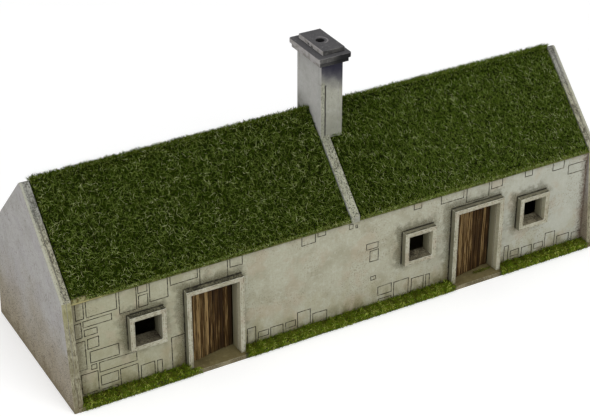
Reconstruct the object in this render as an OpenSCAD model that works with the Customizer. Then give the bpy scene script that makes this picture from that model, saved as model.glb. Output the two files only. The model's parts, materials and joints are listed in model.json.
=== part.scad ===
// Turf-roofed double cottage, a tabletop model cut from thin board and flocked with turf.
// X runs along the front, Y from the front to the back, Z up from the ground.

/* [House] */
// Length over the outer faces of both gables
house_l = 250; // [220:5:320]
// Width of the gables and the base plate at the ground
house_w = 80; // [74:1:100]
// Thickness of one sheet of board
board_t = 2; // [1.6:0.1:2.4]
// Thickness of the base plate
base_t = 2; // [1.8:0.1:3]

/* [Gables and roof] */
// Height of the gable shoulders above the ground
shoulder_h = 47.6; // [45:0.2:60]
// How far a gable's edge leans in between the ground and its shoulder
batter = 4.8; // [3:0.2:4.8]
// Pitch of the roof in degrees
roof_pitch = 45; // [40:1:50]
// Width of the blunt top of a gable
apex_flat = 1.2; // [0.6:0.2:2]
// How far the turf mat lies below the rakes of the gables
turf_sink = 0.3; // [0.1:0.1:0.6]
// Thickness of the turf mat
turf_t = 1.2; // [0.8:0.1:2]
// How far the turf mat hangs over the wall face
turf_overhang = 0.4; // [0.2:0.1:0.8]

/* [Walls] */
// Distance from the edge of the base plate to the wall face
wall_inset = 5; // [5:0.1:7]
// How far the cross wall stands above the rakes of the gables
cross_rise = 0.5; // [0.2:0.1:1]
// Where the left face of the cross wall stands, from the middle of the house
cross_x = 0.7; // [-4:0.1:4]
// Height of the step under the nose of the cross wall, from the shoulder down
nose_drop = 1.9; // [1.4:0.1:2.4]

/* [Joints between the boards] */
// Height of the tab at each end of a long wall
wall_tab_h = 12; // [6:0.5:16]
// Height of a wall tab's lower edge above the floor
wall_tab_z = 14; // [8:0.5:18]
// Length of a foot tab of the cross wall
foot_tab_l = 10; // [6:0.5:14]
// Distance of a foot tab's centre from the middle of the cross wall
foot_tab_y = 18; // [14:0.5:22]
// Play of a tab in its slot, on each side
tab_play = 0.1; // [0.05:0.05:0.3]

/* [Doorways] */
// Distance of each door's centre from the middle of the house
door_x = 62.4; // [56:0.2:66]
// Width of the doorway
door_w = 21.2; // [18:0.2:24]
// Height of the doorway above the floor
door_h = 34.3; // [30:0.1:36]
// How far a closed leaf lies behind the wall face
leaf_set = 0.4; // [0.2:0.1:1.2]
// Gap between a leaf and the edges of its doorway
leaf_gap = 0.2; // [0.15:0.05:0.5]
// Angle at which the left leaf stands open
left_ajar = 10; // [0:0.5:30]
// Angle at which the right leaf stands open
right_ajar = 9; // [0:0.5:30]
// Radius of the pivot pins of a leaf
pin_r = 0.6; // [0.5:0.05:0.7]
// Length of a pivot pin
pin_l = 1.5; // [1:0.1:1.6]
// Running clearance round a pivot pin
pin_play = 0.05; // [0.03:0.01:0.08]

/* [Windows] */
// Distance of the end windows from the middle of the house
end_window_x = 91.5; // [90:0.2:100]
// Where the third window stands, to the right of the middle
mid_window_x = 33.1; // [20:0.2:38]
// Width of a window opening
window_w = 11.4; // [9:0.2:13]
// Height of a window opening
window_h = 11.6; // [9:0.2:13]
// Height of the window openings' lower edge above the floor
window_sill = 18.8; // [14:0.2:20]

/* [Frames] */
// Width of a frame's face round its opening
frame_w = 2; // [1.4:0.1:2.6]
// How far a frame stands out of the wall
frame_d = 3.1; // [2:0.1:3.6]

/* [Chimney] */
// Width of the stack along the house
stack_w = 10; // [8:0.2:14]
// Depth of the stack across the house
stack_d = 19.6; // [14:0.2:24]
// Height of the stack above the ridge of the gables
stack_rise = 22.9; // [15:0.1:30]
// Height of the finger joints at the top corners of the stack
finger_h = 9.1; // [6:0.1:14]
// How far the lower cap plate stands out
cap_low_out = 1.7; // [1:0.1:2]
// How far the upper cap plate stands out
cap_high_out = 2.6; // [2.2:0.1:4]
// Corner radius of the upper cap plate
cap_corner_r = 1.2; // [0.6:0.1:2]
// How far the top block is set to the right
block_shift = 0.7; // [0:0.1:1.2]
// Radius of the flue
flue_r = 1.8; // [1:0.1:2.4]

/* [Verges] */
// Height of the turf verge against the wall
verge_h = 1.4; // [0.8:0.1:2.4]
// How far a verge keeps back from the edge of the base plate
verge_set = 0.5; // [0.2:0.1:1]

/* [Hidden] */

$fn = 48;
// Overshoot of cutting shapes, so that no cut ends on a face
eps = 0.5;

half_l = house_l / 2;
half_w = house_w / 2;
room_x = half_l - 2 * board_t;
shoulder_y = half_w - batter;
ridge_h = shoulder_h + shoulder_y * tan(roof_pitch);
wall_y = half_w - wall_inset;
wall_t = 2 * board_t;
wall_in_y = wall_y - wall_t;
nose_z = shoulder_h - nose_drop;

// Depths below the rake plane, square to the roof
mat_top = turf_sink;
deck_top = turf_sink + turf_t;
deck_low = deck_top + board_t;

// Where a leaf's round edge stands, at the left side of the doorway round x
function hinge_x(x) = x - door_w / 2 + leaf_gap + board_t / 2;

// Height of the plane that lies depth below the rakes, at the distance y from the ridge
function roof_z(y, depth = 0) = ridge_h - abs(y) * tan(roof_pitch) - depth / cos(roof_pitch);

cross_x2 = cross_x + 2 * board_t;
stack_x2 = cross_x + stack_w;
stack_y = stack_d / 2;
stack_top = ridge_h + stack_rise;
cap_z1 = stack_top + board_t;
cap_z2 = cap_z1 + board_t;
stack_mid = (cross_x + stack_x2) / 2;
stack_in_y = stack_y - board_t;
finger_z = stack_top - finger_h;
tab_z = base_t + wall_tab_z;

door_top = base_t + door_h;
frame_y = wall_y + frame_d;
leaf_mid_y = wall_y - leaf_set - board_t / 2;
leaf_z = base_t + leaf_gap;
leaf_top = door_top - leaf_gap;
pin_hole_r = pin_r + pin_play;
pin_hole_h = pin_l + leaf_gap / 2;
window_z = base_t + window_sill;

// Sweeps an outline drawn in depth and height along the house from x0 to x1
module run(x0, x1) {
    translate([x0, 0, 0]) rotate([90, 0, 90]) linear_extrude(x1 - x0) children();
}

// Box from one corner to the other
module block(low, high) {
    translate(low) cube(high - low);
}

module gable_outline() {
    flat_z = ridge_h - apex_flat / 2 * tan(roof_pitch);
    polygon([
        [-half_w, 0], [half_w, 0],
        [shoulder_y, shoulder_h], [apex_flat / 2, flat_z],
        [-apex_flat / 2, flat_z], [-shoulder_y, shoulder_h]
    ]);
}

module outer_gable(x0) {
    color("#a8a79c") run(x0, x0 + board_t) gable_outline();
}

// The inner layer has the same outline, cut off to stand on the base plate, and is
// slotted for the tabs of both long walls
module inner_gable(x0) {
    color("#b0ae9e") difference() {
        run(x0, x0 + board_t) gable_outline();
        block([x0 - eps, -half_w - eps, -eps], [x0 + board_t + eps, half_w + eps, base_t]);
        for (side = [0, 1])
            mirror([0, side, 0]) block(
                [x0 - eps, wall_in_y - tab_play, tab_z - tab_play],
                [x0 + board_t + eps, wall_in_y + board_t + tab_play, tab_z + wall_tab_h + tab_play]
            );
    }
}

module base_plate() {
    color("#8d8a6c") difference() {
        block([-half_l + board_t, -half_w, 0], [half_l - board_t, half_w, base_t]);
        for (side = [-1, 1])
            block([cross_x, side * foot_tab_y - foot_tab_l / 2 - tab_play, -eps],
                  [cross_x2, side * foot_tab_y + foot_tab_l / 2 + tab_play, base_t + eps]);
        for (side = [-1, 1])
            translate([hinge_x(side * door_x), -leaf_mid_y, leaf_z - pin_hole_h])
                cylinder(r = pin_hole_r, h = pin_hole_h + eps);
    }
}

// Wall section at the back: its face is planed to the pitch and its inner half is
// rebated for the edge of the roof deck
module wall_outline() {
    rebate_y = wall_y - board_t;
    polygon([
        [wall_in_y, base_t], [wall_y, base_t],
        [wall_y, roof_z(wall_y, deck_top)], [rebate_y, roof_z(rebate_y, deck_top)],
        [rebate_y, roof_z(rebate_y, deck_low)], [wall_in_y, roof_z(wall_in_y, deck_low)]
    ]);
}

// Tab on the inner board of a back wall's end, as deep as the inner gable layer
module wall_tab(x0) {
    block([x0, wall_in_y, tab_z], [x0 + board_t, wall_in_y + board_t, tab_z + wall_tab_h]);
}

module cross_wall_slot() {
    block([cross_x, -half_w, nose_z], [cross_x2, half_w, ridge_h]);
}

module front_panel(x0, x1) {
    color("#aaa896") mirror([0, 1, 0]) run(x0, x1) wall_outline();
}

module window_hole(x) {
    block([x - window_w / 2, -half_w, window_z], [x + window_w / 2, -wall_in_y + eps, window_z + window_h]);
}

// Wall over a doorway, bored from below for the leaf's top pin
module over_door_panel(x) {
    difference() {
        front_panel(x - door_w / 2, x + door_w / 2);
        block([x - door_w, -half_w, 0], [x + door_w, 0, door_top]);
        translate([hinge_x(x), -leaf_mid_y, leaf_top - eps]) cylinder(r = pin_hole_r, h = pin_hole_h + eps);
    }
}

module front_wall_left() {
    difference() {
        front_panel(-room_x, -door_x - door_w / 2);
        window_hole(-end_window_x);
    }
    color("#aaa896") mirror([0, 1, 0]) wall_tab(-room_x - board_t);
}

module front_wall_middle() {
    difference() {
        front_panel(-door_x + door_w / 2, door_x - door_w / 2);
        window_hole(mid_window_x);
        cross_wall_slot();
    }
}

module front_wall_right() {
    difference() {
        front_panel(door_x + door_w / 2, room_x);
        window_hole(end_window_x);
    }
    color("#aaa896") mirror([0, 1, 0]) wall_tab(room_x);
}

module back_wall() {
    color("#a5a392") {
        difference() {
            run(-room_x, room_x) wall_outline();
            cross_wall_slot();
        }
        wall_tab(-room_x - board_t);
        wall_tab(room_x);
    }
}

// One layer of the cross wall: it fills the house from wall to wall, a nose over each
// wall carries its rake out to the wall face, and two foot tabs go through the base
module cross_wall_outline() {
    rake_rise = cross_rise / cos(roof_pitch);
    for (side = [-1, 1])
        translate([side * foot_tab_y - foot_tab_l / 2, 0]) square([foot_tab_l, base_t + eps]);
    polygon([
        [-wall_in_y, base_t], [wall_in_y, base_t],
        [wall_in_y, nose_z], [shoulder_y, nose_z], [shoulder_y, shoulder_h + rake_rise],
        [0, ridge_h + rake_rise],
        [-shoulder_y, shoulder_h + rake_rise], [-shoulder_y, nose_z], [-wall_in_y, nose_z]
    ]);
}

module cross_wall_right() {
    color("#b4b3a4") run(cross_x + board_t, cross_x2) cross_wall_outline();
}

// The left layer runs on upward as the left side of the chimney stack, narrower at the
// top between the fingers of the stack's front and back
module cross_wall_left() {
    stack_foot_z = roof_z(stack_y);
    color("#b4b3a4") run(cross_x, cross_x + board_t) {
        cross_wall_outline();
        translate([-stack_y, stack_foot_z]) square([stack_d, finger_z - stack_foot_z]);
        translate([-stack_in_y, stack_foot_z]) square([2 * stack_in_y, stack_top - stack_foot_z]);
    }
}

module window_frame(x) {
    color("#c0beab") difference() {
        block([x - window_w / 2 - frame_w, -frame_y, window_z - frame_w],
              [x + window_w / 2 + frame_w, -wall_y, window_z + window_h + frame_w]);
        window_hole(x);
    }
}

module door_frame(x) {
    color("#c0beab") difference() {
        block([x - door_w / 2 - frame_w, -frame_y, base_t],
              [x + door_w / 2 + frame_w, -wall_y, door_top + frame_w]);
        block([x - door_w / 2, -half_w, 0], [x + door_w / 2, 0, door_top]);
    }
}

// Plank leaf inside its doorway, standing open by some degrees; it turns inward on two
// pins in line with its round edge
module door_leaf(x, ajar) {
    leaf_l = door_w - 2 * leaf_gap - board_t / 2;
    color("#5b4526") translate([hinge_x(x), -leaf_mid_y, leaf_z]) rotate([0, 0, ajar]) {
        block([0, -board_t / 2, 0], [leaf_l, board_t / 2, leaf_top - leaf_z]);
        cylinder(d = board_t, h = leaf_top - leaf_z);
        translate([0, 0, -pin_l]) cylinder(r = pin_r, h = leaf_top - leaf_z + 2 * pin_l);
    }
}

// One slope of a layer of the roof: from its lower edge up to the ridge
module slope_outline(edge_y, top, low) {
    polygon([
        [edge_y, roof_z(edge_y, low)], [edge_y, roof_z(edge_y, top)],
        [0, roof_z(0, top)], [0, roof_z(0, low)]
    ]);
}

module roof_deck(x0, x1) {
    color("#9a8763") run(x0, x1) slope_outline(wall_y - board_t, deck_top, deck_low);
}

// The turf mat is cut out round the chimney stack
module turf(x0, x1) {
    color("#3d5220") difference() {
        run(x0, x1) slope_outline(wall_y + turf_overhang, mat_top, deck_top);
        block([cross_x, -stack_y, 0], [stack_x2, stack_y, stack_top]);
    }
}

// Front or back of the stack: it stands on the deck, steps over the cross wall, and its
// top is as wide as the stack, with a finger over the edge of each side
module stack_panel() {
    color("#a9a89c") difference() {
        union() {
            run(cross_x + board_t, stack_x2 - board_t) polygon([
                [stack_in_y, roof_z(stack_in_y, deck_top)], [stack_y, roof_z(stack_y, deck_top)],
                [stack_y, stack_top], [stack_in_y, stack_top]
            ]);
            block([cross_x, stack_in_y, finger_z], [stack_x2, stack_y, stack_top]);
        }
        cross_wall_right();
    }
}

// Right side of the stack, notched to sit astride the ridge of the deck
module chimney_right() {
    color("#a9a89c") run(stack_x2 - board_t, stack_x2) polygon([
        [-stack_y, roof_z(stack_y, deck_top)], [0, roof_z(0, deck_top)], [stack_y, roof_z(stack_y, deck_top)],
        [stack_y, finger_z], [stack_in_y, finger_z], [stack_in_y, stack_top],
        [-stack_in_y, stack_top], [-stack_in_y, finger_z], [-stack_y, finger_z]
    ]);
}

module flue(z) {
    translate([stack_mid, 0, z - eps]) cylinder(r = flue_r, h = board_t + 2 * eps);
}

module cap_lower_plate() {
    color("#8f8e86") difference() {
        block([cross_x - cap_low_out, -stack_y - cap_low_out, stack_top],
              [stack_x2 + cap_low_out, stack_y + cap_low_out, cap_z1]);
        flue(stack_top);
    }
}

module cap_upper_plate() {
    color("#6b6a68") difference() {
        translate([stack_mid, 0, cap_z1]) linear_extrude(board_t)
            offset(r = cap_corner_r)
            square([stack_w, stack_d] + 2 * (cap_high_out - cap_corner_r) * [1, 1], center = true);
        flue(cap_z1);
    }
}

module cap_top_block() {
    color("#59585a") difference() {
        block([cross_x + block_shift, -stack_y, cap_z2], [stack_x2 + block_shift, stack_y, cap_z2 + board_t]);
        flue(cap_z2);
    }
}

// Low bank of turf on the base plate, highest against the wall
module verge(x0, x1) {
    front_y = half_w - verge_set;
    color("#5f7022") run(x0, x1) polygon([
        [wall_y, base_t], [front_y, base_t], [front_y - verge_set, base_t + verge_h / 2],
        [wall_y, base_t + verge_h]
    ]);
}

module front_verge(x0, x1) {
    mirror([0, 1, 0]) verge(x0, x1);
}

door_side = door_w / 2 + frame_w;

base_plate();
outer_gable(-half_l);  // left_gable_outer
inner_gable(-half_l + board_t);  // left_gable_inner
inner_gable(room_x);  // right_gable_inner
outer_gable(room_x + board_t);  // right_gable_outer
cross_wall_left();
cross_wall_right();
front_wall_left();
over_door_panel(-door_x);  // front_wall_over_left_door
front_wall_middle();
over_door_panel(door_x);  // front_wall_over_right_door
front_wall_right();
back_wall();
window_frame(-end_window_x);  // left_window_frame
window_frame(mid_window_x);  // middle_window_frame
window_frame(end_window_x);  // right_window_frame
door_frame(-door_x);  // left_door_frame
door_frame(door_x);  // right_door_frame
door_leaf(-door_x, left_ajar);  // left_door
door_leaf(door_x, right_ajar);  // right_door
mirror([0, 1, 0]) roof_deck(-room_x, cross_x);  // roof_deck_front_left
mirror([0, 1, 0]) roof_deck(cross_x2, room_x);  // roof_deck_front_right
roof_deck(-room_x, cross_x);  // roof_deck_back_left
roof_deck(cross_x2, room_x);  // roof_deck_back_right
mirror([0, 1, 0]) turf(-room_x, cross_x);  // turf_front_left
mirror([0, 1, 0]) turf(cross_x2, room_x);  // turf_front_right
turf(-room_x, cross_x);  // turf_back_left
turf(cross_x2, room_x);  // turf_back_right
mirror([0, 1, 0]) stack_panel();  // chimney_front
stack_panel();  // chimney_back
chimney_right();
cap_lower_plate();
cap_upper_plate();
cap_top_block();
front_verge(-room_x, -door_x - door_side);  // verge_front_left
front_verge(-door_x + door_side, door_x - door_side);  // verge_front_middle
front_verge(door_x + door_side, room_x);  // verge_front_right
verge(-room_x, room_x);  // verge_back
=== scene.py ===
# %% [markdown]
# # A turf-roofed double cottage for the tabletop
# The real object is a model house, 250 mm long, glued up from 2 mm board, painted as old lime
# render and roofed with flocked grass fibres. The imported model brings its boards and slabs.
# This lesson gives them paint and wear, cuts the stone outlines into the front wall, hangs two
# plank doors and lays the fibres one by one. Sizes are written in millimetres and turned into
# Blender's metres where a mesh is made.

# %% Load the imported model
import json
import math
import random

import bmesh
import bpy
import numpy as np
from mathutils import Matrix
from mathutils import Vector
from mathutils import noise


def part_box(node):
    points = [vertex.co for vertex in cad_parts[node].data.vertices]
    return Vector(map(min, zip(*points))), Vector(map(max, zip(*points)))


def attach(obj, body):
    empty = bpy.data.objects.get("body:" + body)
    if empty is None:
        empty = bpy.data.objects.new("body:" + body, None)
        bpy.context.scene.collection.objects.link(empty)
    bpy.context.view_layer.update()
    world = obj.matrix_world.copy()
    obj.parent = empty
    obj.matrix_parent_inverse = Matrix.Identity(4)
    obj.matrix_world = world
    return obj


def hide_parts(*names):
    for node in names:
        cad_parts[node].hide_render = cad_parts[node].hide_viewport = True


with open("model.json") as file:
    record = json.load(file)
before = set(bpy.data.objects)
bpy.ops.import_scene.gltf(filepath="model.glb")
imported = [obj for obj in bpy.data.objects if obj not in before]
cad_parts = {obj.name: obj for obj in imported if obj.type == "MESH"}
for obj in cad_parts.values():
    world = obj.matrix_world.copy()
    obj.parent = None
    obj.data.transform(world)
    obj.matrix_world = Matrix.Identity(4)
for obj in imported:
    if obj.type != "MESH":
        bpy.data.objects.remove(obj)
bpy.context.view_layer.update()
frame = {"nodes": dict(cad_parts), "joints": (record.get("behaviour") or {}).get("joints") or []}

MM = 0.001

# %% [markdown]
# ## Camera
# The photograph is taken from the front left and from above with a long lens, so far-off edges
# stay nearly parallel. A camera could be dragged into place by eye. Here its place is worked out
# from a point that it looks at, two angles and a distance, because such numbers can be checked
# against the corners of the house.

# %% Place the camera
AIM = Vector((-5.87, -0.14, 36.64))
AZIMUTH = math.radians(-29.27)
ELEVATION = math.radians(30.77)
DISTANCE = 687.0
LENS = 99.56

backwards = Vector((
    math.sin(AZIMUTH) * math.cos(ELEVATION),
    -math.cos(AZIMUTH) * math.cos(ELEVATION),
    math.sin(ELEVATION),
))
camera = bpy.data.objects.new("camera", bpy.data.cameras.new("camera"))
bpy.context.scene.collection.objects.link(camera)
camera.location = (AIM + backwards * DISTANCE) * MM
camera.rotation_euler = (-backwards).to_track_quat("-Z", "Y").to_euler()
camera.data.lens = LENS
camera.data.clip_start = 0.01
bpy.context.scene.camera = camera
print("camera at", [round(c) for c in camera.location / MM], "mm")

# %% [markdown]
# ## A helper that wires nodes
# A material in Blender is a tree of small nodes. Placing them by hand in the editor is pleasant
# but slow to repeat. This helper adds a node in one line, and a plain sum of values adds the
# nodes that work it out, so that a recipe reads from top to bottom.

# %% The wiring helper
def ink(red, green, blue):
    """A colour as it looks on the screen, 0 to 255, as the linear values that Blender mixes."""
    parts = [c / 255 for c in (red, green, blue)]
    return tuple(c / 12.92 if c <= 0.04045 else ((c + 0.055) / 1.055) ** 2.4 for c in parts) + (1,)


def sum_node(operation, turned=False):
    """A method that adds one Math node for two values, or for one."""
    def method(first, second=None):
        pair = (second, first) if turned else (first, second)
        return first.wires.math(operation, *pair)

    return method


class Value:
    """A number or colour on its way between nodes. A sum like a * 0.5 + b adds the nodes for it."""

    __add__ = sum_node("ADD")
    __radd__ = sum_node("ADD", turned=True)
    __sub__ = sum_node("SUBTRACT")
    __rsub__ = sum_node("SUBTRACT", turned=True)
    __mul__ = sum_node("MULTIPLY")
    __truediv__ = sum_node("DIVIDE")
    __pow__ = sum_node("POWER")
    __abs__ = sum_node("ABSOLUTE")

    def __init__(self, wires, socket):
        self.wires = wires
        self.socket = socket

    def step(self, low, high, start=0.0, end=1.0):
        """Goes smoothly from start to end while this value goes from low to high."""
        return self.wires.out(self.wires.node("MapRange", self, low, high, start, end,
                                              interpolation_type="SMOOTHSTEP"))

    def fall(self, low, high, start=1.0):
        """Goes smoothly from start to nothing."""
        return self.step(low, high, start, 0.0)

    def tint(self, share, *rgb):
        """This colour with a share of another one laid over it."""
        return self.wires.mix(share, self, ink(*rgb))


class Wiring:
    """Adds nodes to one tree and joins them."""

    def __init__(self, tree, shader=None):
        self.tree = tree
        self.shader = shader

    def put(self, socket, value):
        """Joins a value to a socket, or sets a plain number or colour there."""
        if isinstance(value, Value):
            self.tree.links.new(value.socket, socket)
        elif value is not None:
            socket.default_value = value

    def node(self, kind, *values, **options):
        """Adds one node. The values go to its inputs in order."""
        made = self.tree.nodes.new("ShaderNode" + kind)
        for option, value in options.items():
            setattr(made, option, value)
        for socket, value in zip(made.inputs, values):
            self.put(socket, value)
        return made

    def out(self, made, name=0):
        """One output of a node, by its name or number."""
        return Value(self, made.outputs[name])

    def math(self, operation, *values):
        return self.out(self.node("Math", *values, operation=operation))

    def larger(self, one, other):
        return self.math("MAXIMUM", one, other)

    def smaller(self, one, other):
        return self.math("MINIMUM", one, other)

    def mix(self, share, under, over):
        """A share of one colour or number laid over another."""
        made = self.node("Mix", data_type="RGBA")
        for index, value in ((0, share), (6, under), (7, over)):
            self.put(made.inputs[index], value)
        return self.out(made, 2)

    def place(self, stretch=(1, 1, 1)):
        """The point on the piece in millimetres. A larger stretch packs a pattern tighter."""
        point = self.out(self.node("TexCoord"), "Object")
        scale = tuple(s / MM for s in stretch)
        return self.out(self.node("VectorMath", point, scale, operation="MULTIPLY"))

    def noise(self, size, stretch=(1, 1, 1), detail=3.0, roughness=0.55):
        """A cloudy value round one half, with blots of about this many millimetres."""
        return self.noise_at(self.place(stretch), 1 / size, detail, roughness)

    def noise_at(self, point, scale, detail, roughness):
        """The cloudy value at any point."""
        made = self.node("TexNoise")
        for title, value in (("Vector", point), ("Scale", scale), ("Detail", detail),
                             ("Roughness", roughness)):
            self.put(made.inputs[title], value)
        return self.out(made, "Fac")

    def axes(self, vector):
        made = self.node("SeparateXYZ", vector)
        return [self.out(made, index) for index in range(3)]

    def point(self):
        """The point on the piece as its three distances in millimetres."""
        return self.axes(self.place())

    def facing(self):
        """The direction that the surface faces, in the piece's own axes."""
        return self.axes(self.out(self.node("TexCoord"), "Normal"))

    def tone(self):
        """The tone that is stored for each plank or fibre."""
        return self.out(self.node("Attribute", attribute_name="tone"), "Fac")

    def group(self, name, **values):
        """Places a node group; an underscore stands for a space in an input's name."""
        made = self.node("Group", node_tree=bpy.data.node_groups[name])
        for title, value in values.items():
            self.put(made.inputs[title.replace("_", " ")], value)
        return {socket.name: Value(self, socket) for socket in made.outputs}

    def finish(self, colour, height, roughness=0.85, relief=0.1, shine=0.3):
        """Joins a colour and a height in millimetres to the material's shader."""
        bump = self.node("Bump")
        for socket, value in ((bump.inputs["Height"], height), (bump.inputs["Strength"], 1.0),
                              (bump.inputs["Distance"], relief * MM),
                              (self.shader["Base Color"], colour),
                              (self.shader["Roughness"], roughness),
                              (self.shader["Specular IOR Level"], shine),
                              (self.shader["Normal"], self.out(bump))):
            self.put(socket, value)


def new_group(name, inputs, outputs):
    """An empty node group. Inputs are name, kind and value; outputs are name and kind."""
    tree = bpy.data.node_groups.new(name, "ShaderNodeTree")
    for title, kind, value in inputs:
        socket = tree.interface.new_socket(title, in_out="INPUT", socket_type="NodeSocket" + kind)
        socket.default_value = value
    for title, kind in outputs:
        tree.interface.new_socket(title, in_out="OUTPUT", socket_type="NodeSocket" + kind)
    wires = Wiring(tree)
    made = tree.nodes.new("NodeGroupInput")
    given = {socket.name: Value(wires, socket) for socket in made.outputs}
    print("group made:", name)
    return wires, given, tree.nodes.new("NodeGroupOutput").inputs


def new_material(name):
    """A material with one Principled shader, ready to be wired."""
    material = bpy.data.materials.new(name)
    material.use_nodes = True
    print("material made:", name)
    shader = material.node_tree.nodes["Principled BSDF"]
    return material, Wiring(material.node_tree, shader.inputs)


print("wiring helper ready")

# %% [markdown]
# ## Shared effects
# The whole model carries the same hand-painted look: a cloudy coat with brush streaks and tiny
# specks, darker dirt along the ground and round what stands out of the wall, with a painted shadow
# along its edge, raw cut edges where the brush only caught the high spots, and rubbed edges that
# also carry a painted highlight. Each effect could be repeated in every material.
# Kept as node groups they are built once and placed with other values.

# %% The cloudy coat of paint
wires, given, result = new_group(
    "cloudy coat",
    [("Coat", "Color", ink(165, 165, 148)), ("Thin", "Color", ink(140, 138, 118)),
     ("Thick", "Color", ink(182, 182, 168)), ("Streaks", "Float", 0.3), ("Specks", "Float", 0.4)],
    [("Color", "Color"), ("Height", "Float")],
)
clouds = wires.noise(9, detail=4).step(0.42, 0.68)
dabs = wires.noise(2.2).step(0.50, 0.72)
streaks = wires.noise(6, stretch=(7, 7, 0.8)).step(0.45, 0.75)
specks = wires.noise(0.45, detail=1).step(0.66, 0.74)
mottle = wires.noise(0.8, detail=4, roughness=0.75).step(0.42, 0.62)
coat = wires.mix(clouds * 0.75, given["Coat"], given["Thin"])
coat = wires.mix(mottle * 0.4, coat, given["Thin"])
coat = wires.mix(dabs * 0.45, coat, given["Thick"])
coat = wires.mix(streaks * given["Streaks"], coat, given["Thin"])
coat = coat.tint(specks * given["Specks"], 96, 92, 76)
wires.put(result["Color"], coat)
grain = wires.noise(0.6, detail=4, roughness=0.7)
wires.put(result["Height"], grain - specks * 0.5)


def cloudy_coat(wires, coat, thin, thick, streaks, specks):
    """Paint in a middle, a thin and a thick tone, with streaks and specks."""
    return wires.group("cloudy coat", Coat=ink(*coat), Thin=ink(*thin), Thick=ink(*thick),
                       Streaks=streaks, Specks=specks)


# %% Dirt round something that stands out of the wall, and painted shadow along its edge
wires, given, result = new_group(
    "dirt and shade round a frame",
    [("Centre X", "Float", 0.0), ("Centre Z", "Float", 0.0), ("Half Width", "Float", 8.0),
     ("Half Height", "Float", 8.0), ("Reach", "Float", 3.0)],
    [("Mask", "Float"), ("Line", "Float")],
)
across, _, up = wires.point()


def away_from_frame(shift_x, shift_z):
    """Distance in millimetres from the frame's outline after moving it a little."""
    gaps = []
    for value, centre, half, shift in ((across, "Centre X", "Half Width", shift_x),
                                       (up, "Centre Z", "Half Height", shift_z)):
        out = abs(value - given[centre] - shift) - given[half]
        gaps.append(wires.larger(out, 0.0) ** 2.0)
    return wires.math("SQRT", gaps[0] + gaps[1])


# the brush came from the left, so the halo lies a little to the left and above
blots = wires.noise(3.5).step(0.30, 0.75, 0.35, 1.7)
halo = away_from_frame(-1.0, 0.6) / (given["Reach"] * blots)
grit = wires.noise(0.5, detail=4, roughness=0.75).step(0.38, 0.62, 0.45, 1.0)
halo = halo.fall(0.0, 1.0) * grit
# painted shadow right along the frame's outline
seam_shadow = away_from_frame(0.0, 0.0).fall(0.15, 0.65)
wires.put(result["Mask"], wires.larger(halo, seam_shadow))
# the Line output is a thin, broken painted shadow line along the outline
line = away_from_frame(0.0, 0.0).fall(0.15, 0.5)
wires.put(result["Line"], line * wires.noise(2.4, detail=4).step(0.4, 0.52))


def dirt_and_shade_round(wires, box, reach):
    """The dirt round one frame and the painted shadow along its edge; the frame is given by its
    centre and half its size.
    """
    return wires.group("dirt and shade round a frame", Centre_X=box[0], Centre_Z=box[1],
                       Half_Width=box[2], Half_Height=box[3], Reach=reach)


# %% Dirt that climbs from the ground
wires, given, result = new_group(
    "dirt from the ground", [("Height", "Float", 8.0)], [("Mask", "Float")])
_, _, up = wires.point()
blots = wires.noise(5, stretch=(1, 1, 0.5), detail=4).step(0.3, 0.72, 0.25, 1.6)
level = up / (given["Height"] * blots)
wires.put(result["Mask"], level.fall(0.0, 1.0))


def ground_dirt(wires, height):
    """Where dirt climbs from the ground, up to about this many millimetres."""
    return wires.group("dirt from the ground", Height=height)["Mask"]


# %% A raw cut edge that the brush only touched
wires, given, result = new_group(
    "dry-brushed edge",
    [("Low", "Color", ink(70, 70, 56)), ("High", "Color", ink(188, 188, 170)),
     ("Cover", "Float", 0.5)],
    [("Color", "Color"), ("Height", "Float")],
)
pits = wires.noise(0.5, detail=4, roughness=0.7)
broad = wires.noise(6, detail=2)
touched = pits + (broad - 0.5) * 0.5
bar = 1.0 - given["Cover"]
touched = (touched - bar).step(-0.14, 0.12)
wires.put(result["Color"], wires.mix(touched, given["Low"], given["High"]))
wires.put(result["Height"], pits)


def dry_brushed(wires, low, high, cover):
    """A raw edge: its own dark tone, the brush's pale one, and how much the brush covered."""
    return wires.group("dry-brushed edge", Low=ink(*low), High=ink(*high), Cover=cover)


# %% Small dark pits
wires, given, result = new_group("dark pits", [("Cover", "Float", 0.5)], [("Mask", "Float")])
holes = wires.noise(0.55, detail=2, roughness=0.6)
drift = (wires.noise(4, detail=2) - 0.5) * 0.25
bar = 0.72 - given["Cover"] * 0.2
depth_of = holes + drift - bar
wires.put(result["Mask"], depth_of.step(0.0, 0.05))


def dark_pits(wires, cover):
    """Small holes in the board; a larger cover gives more of them."""
    return wires.group("dark pits", Cover=cover)["Mask"]


# %% Rounded edges that lost their paint, with a painted highlight
wires, given, result = new_group("worn and highlit corner", [("Wear", "Float", 0.8)], [("Mask", "Float")])
face_x, face_y, face_z = [abs(part) for part in wires.facing()]
flattest = wires.larger(wires.larger(face_x, face_y), face_z)
turned = flattest.fall(0.82, 0.995)
patchy = wires.noise(1.6).step(0.36, 0.6)
wires.put(result["Mask"], turned * patchy * given["Wear"])


def worn_and_highlit_corner(wires, wear):
    """Where an edge has lost its paint, with a painted highlight."""
    return wires.group("worn and highlit corner", Wear=wear)["Mask"]


# %% [markdown]
# ## Paint for the walls
# The front wall is a pale grey-beige coat. Dirt was brushed round the frames, along the ground,
# under the eave and into the corner at the right-hand gable. Painted shade lies under the eave, in
# thin lines round the frames and deep in the openings. Painting an image would fix the dirt to one
# size of house. The recipe below works from the place of each point instead, so the dirt and the
# painted shade follow the frames wherever they stand.

# %% Where the frames stand
def box_of(node):
    """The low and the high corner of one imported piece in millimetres."""
    return [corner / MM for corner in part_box(node)]


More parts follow.
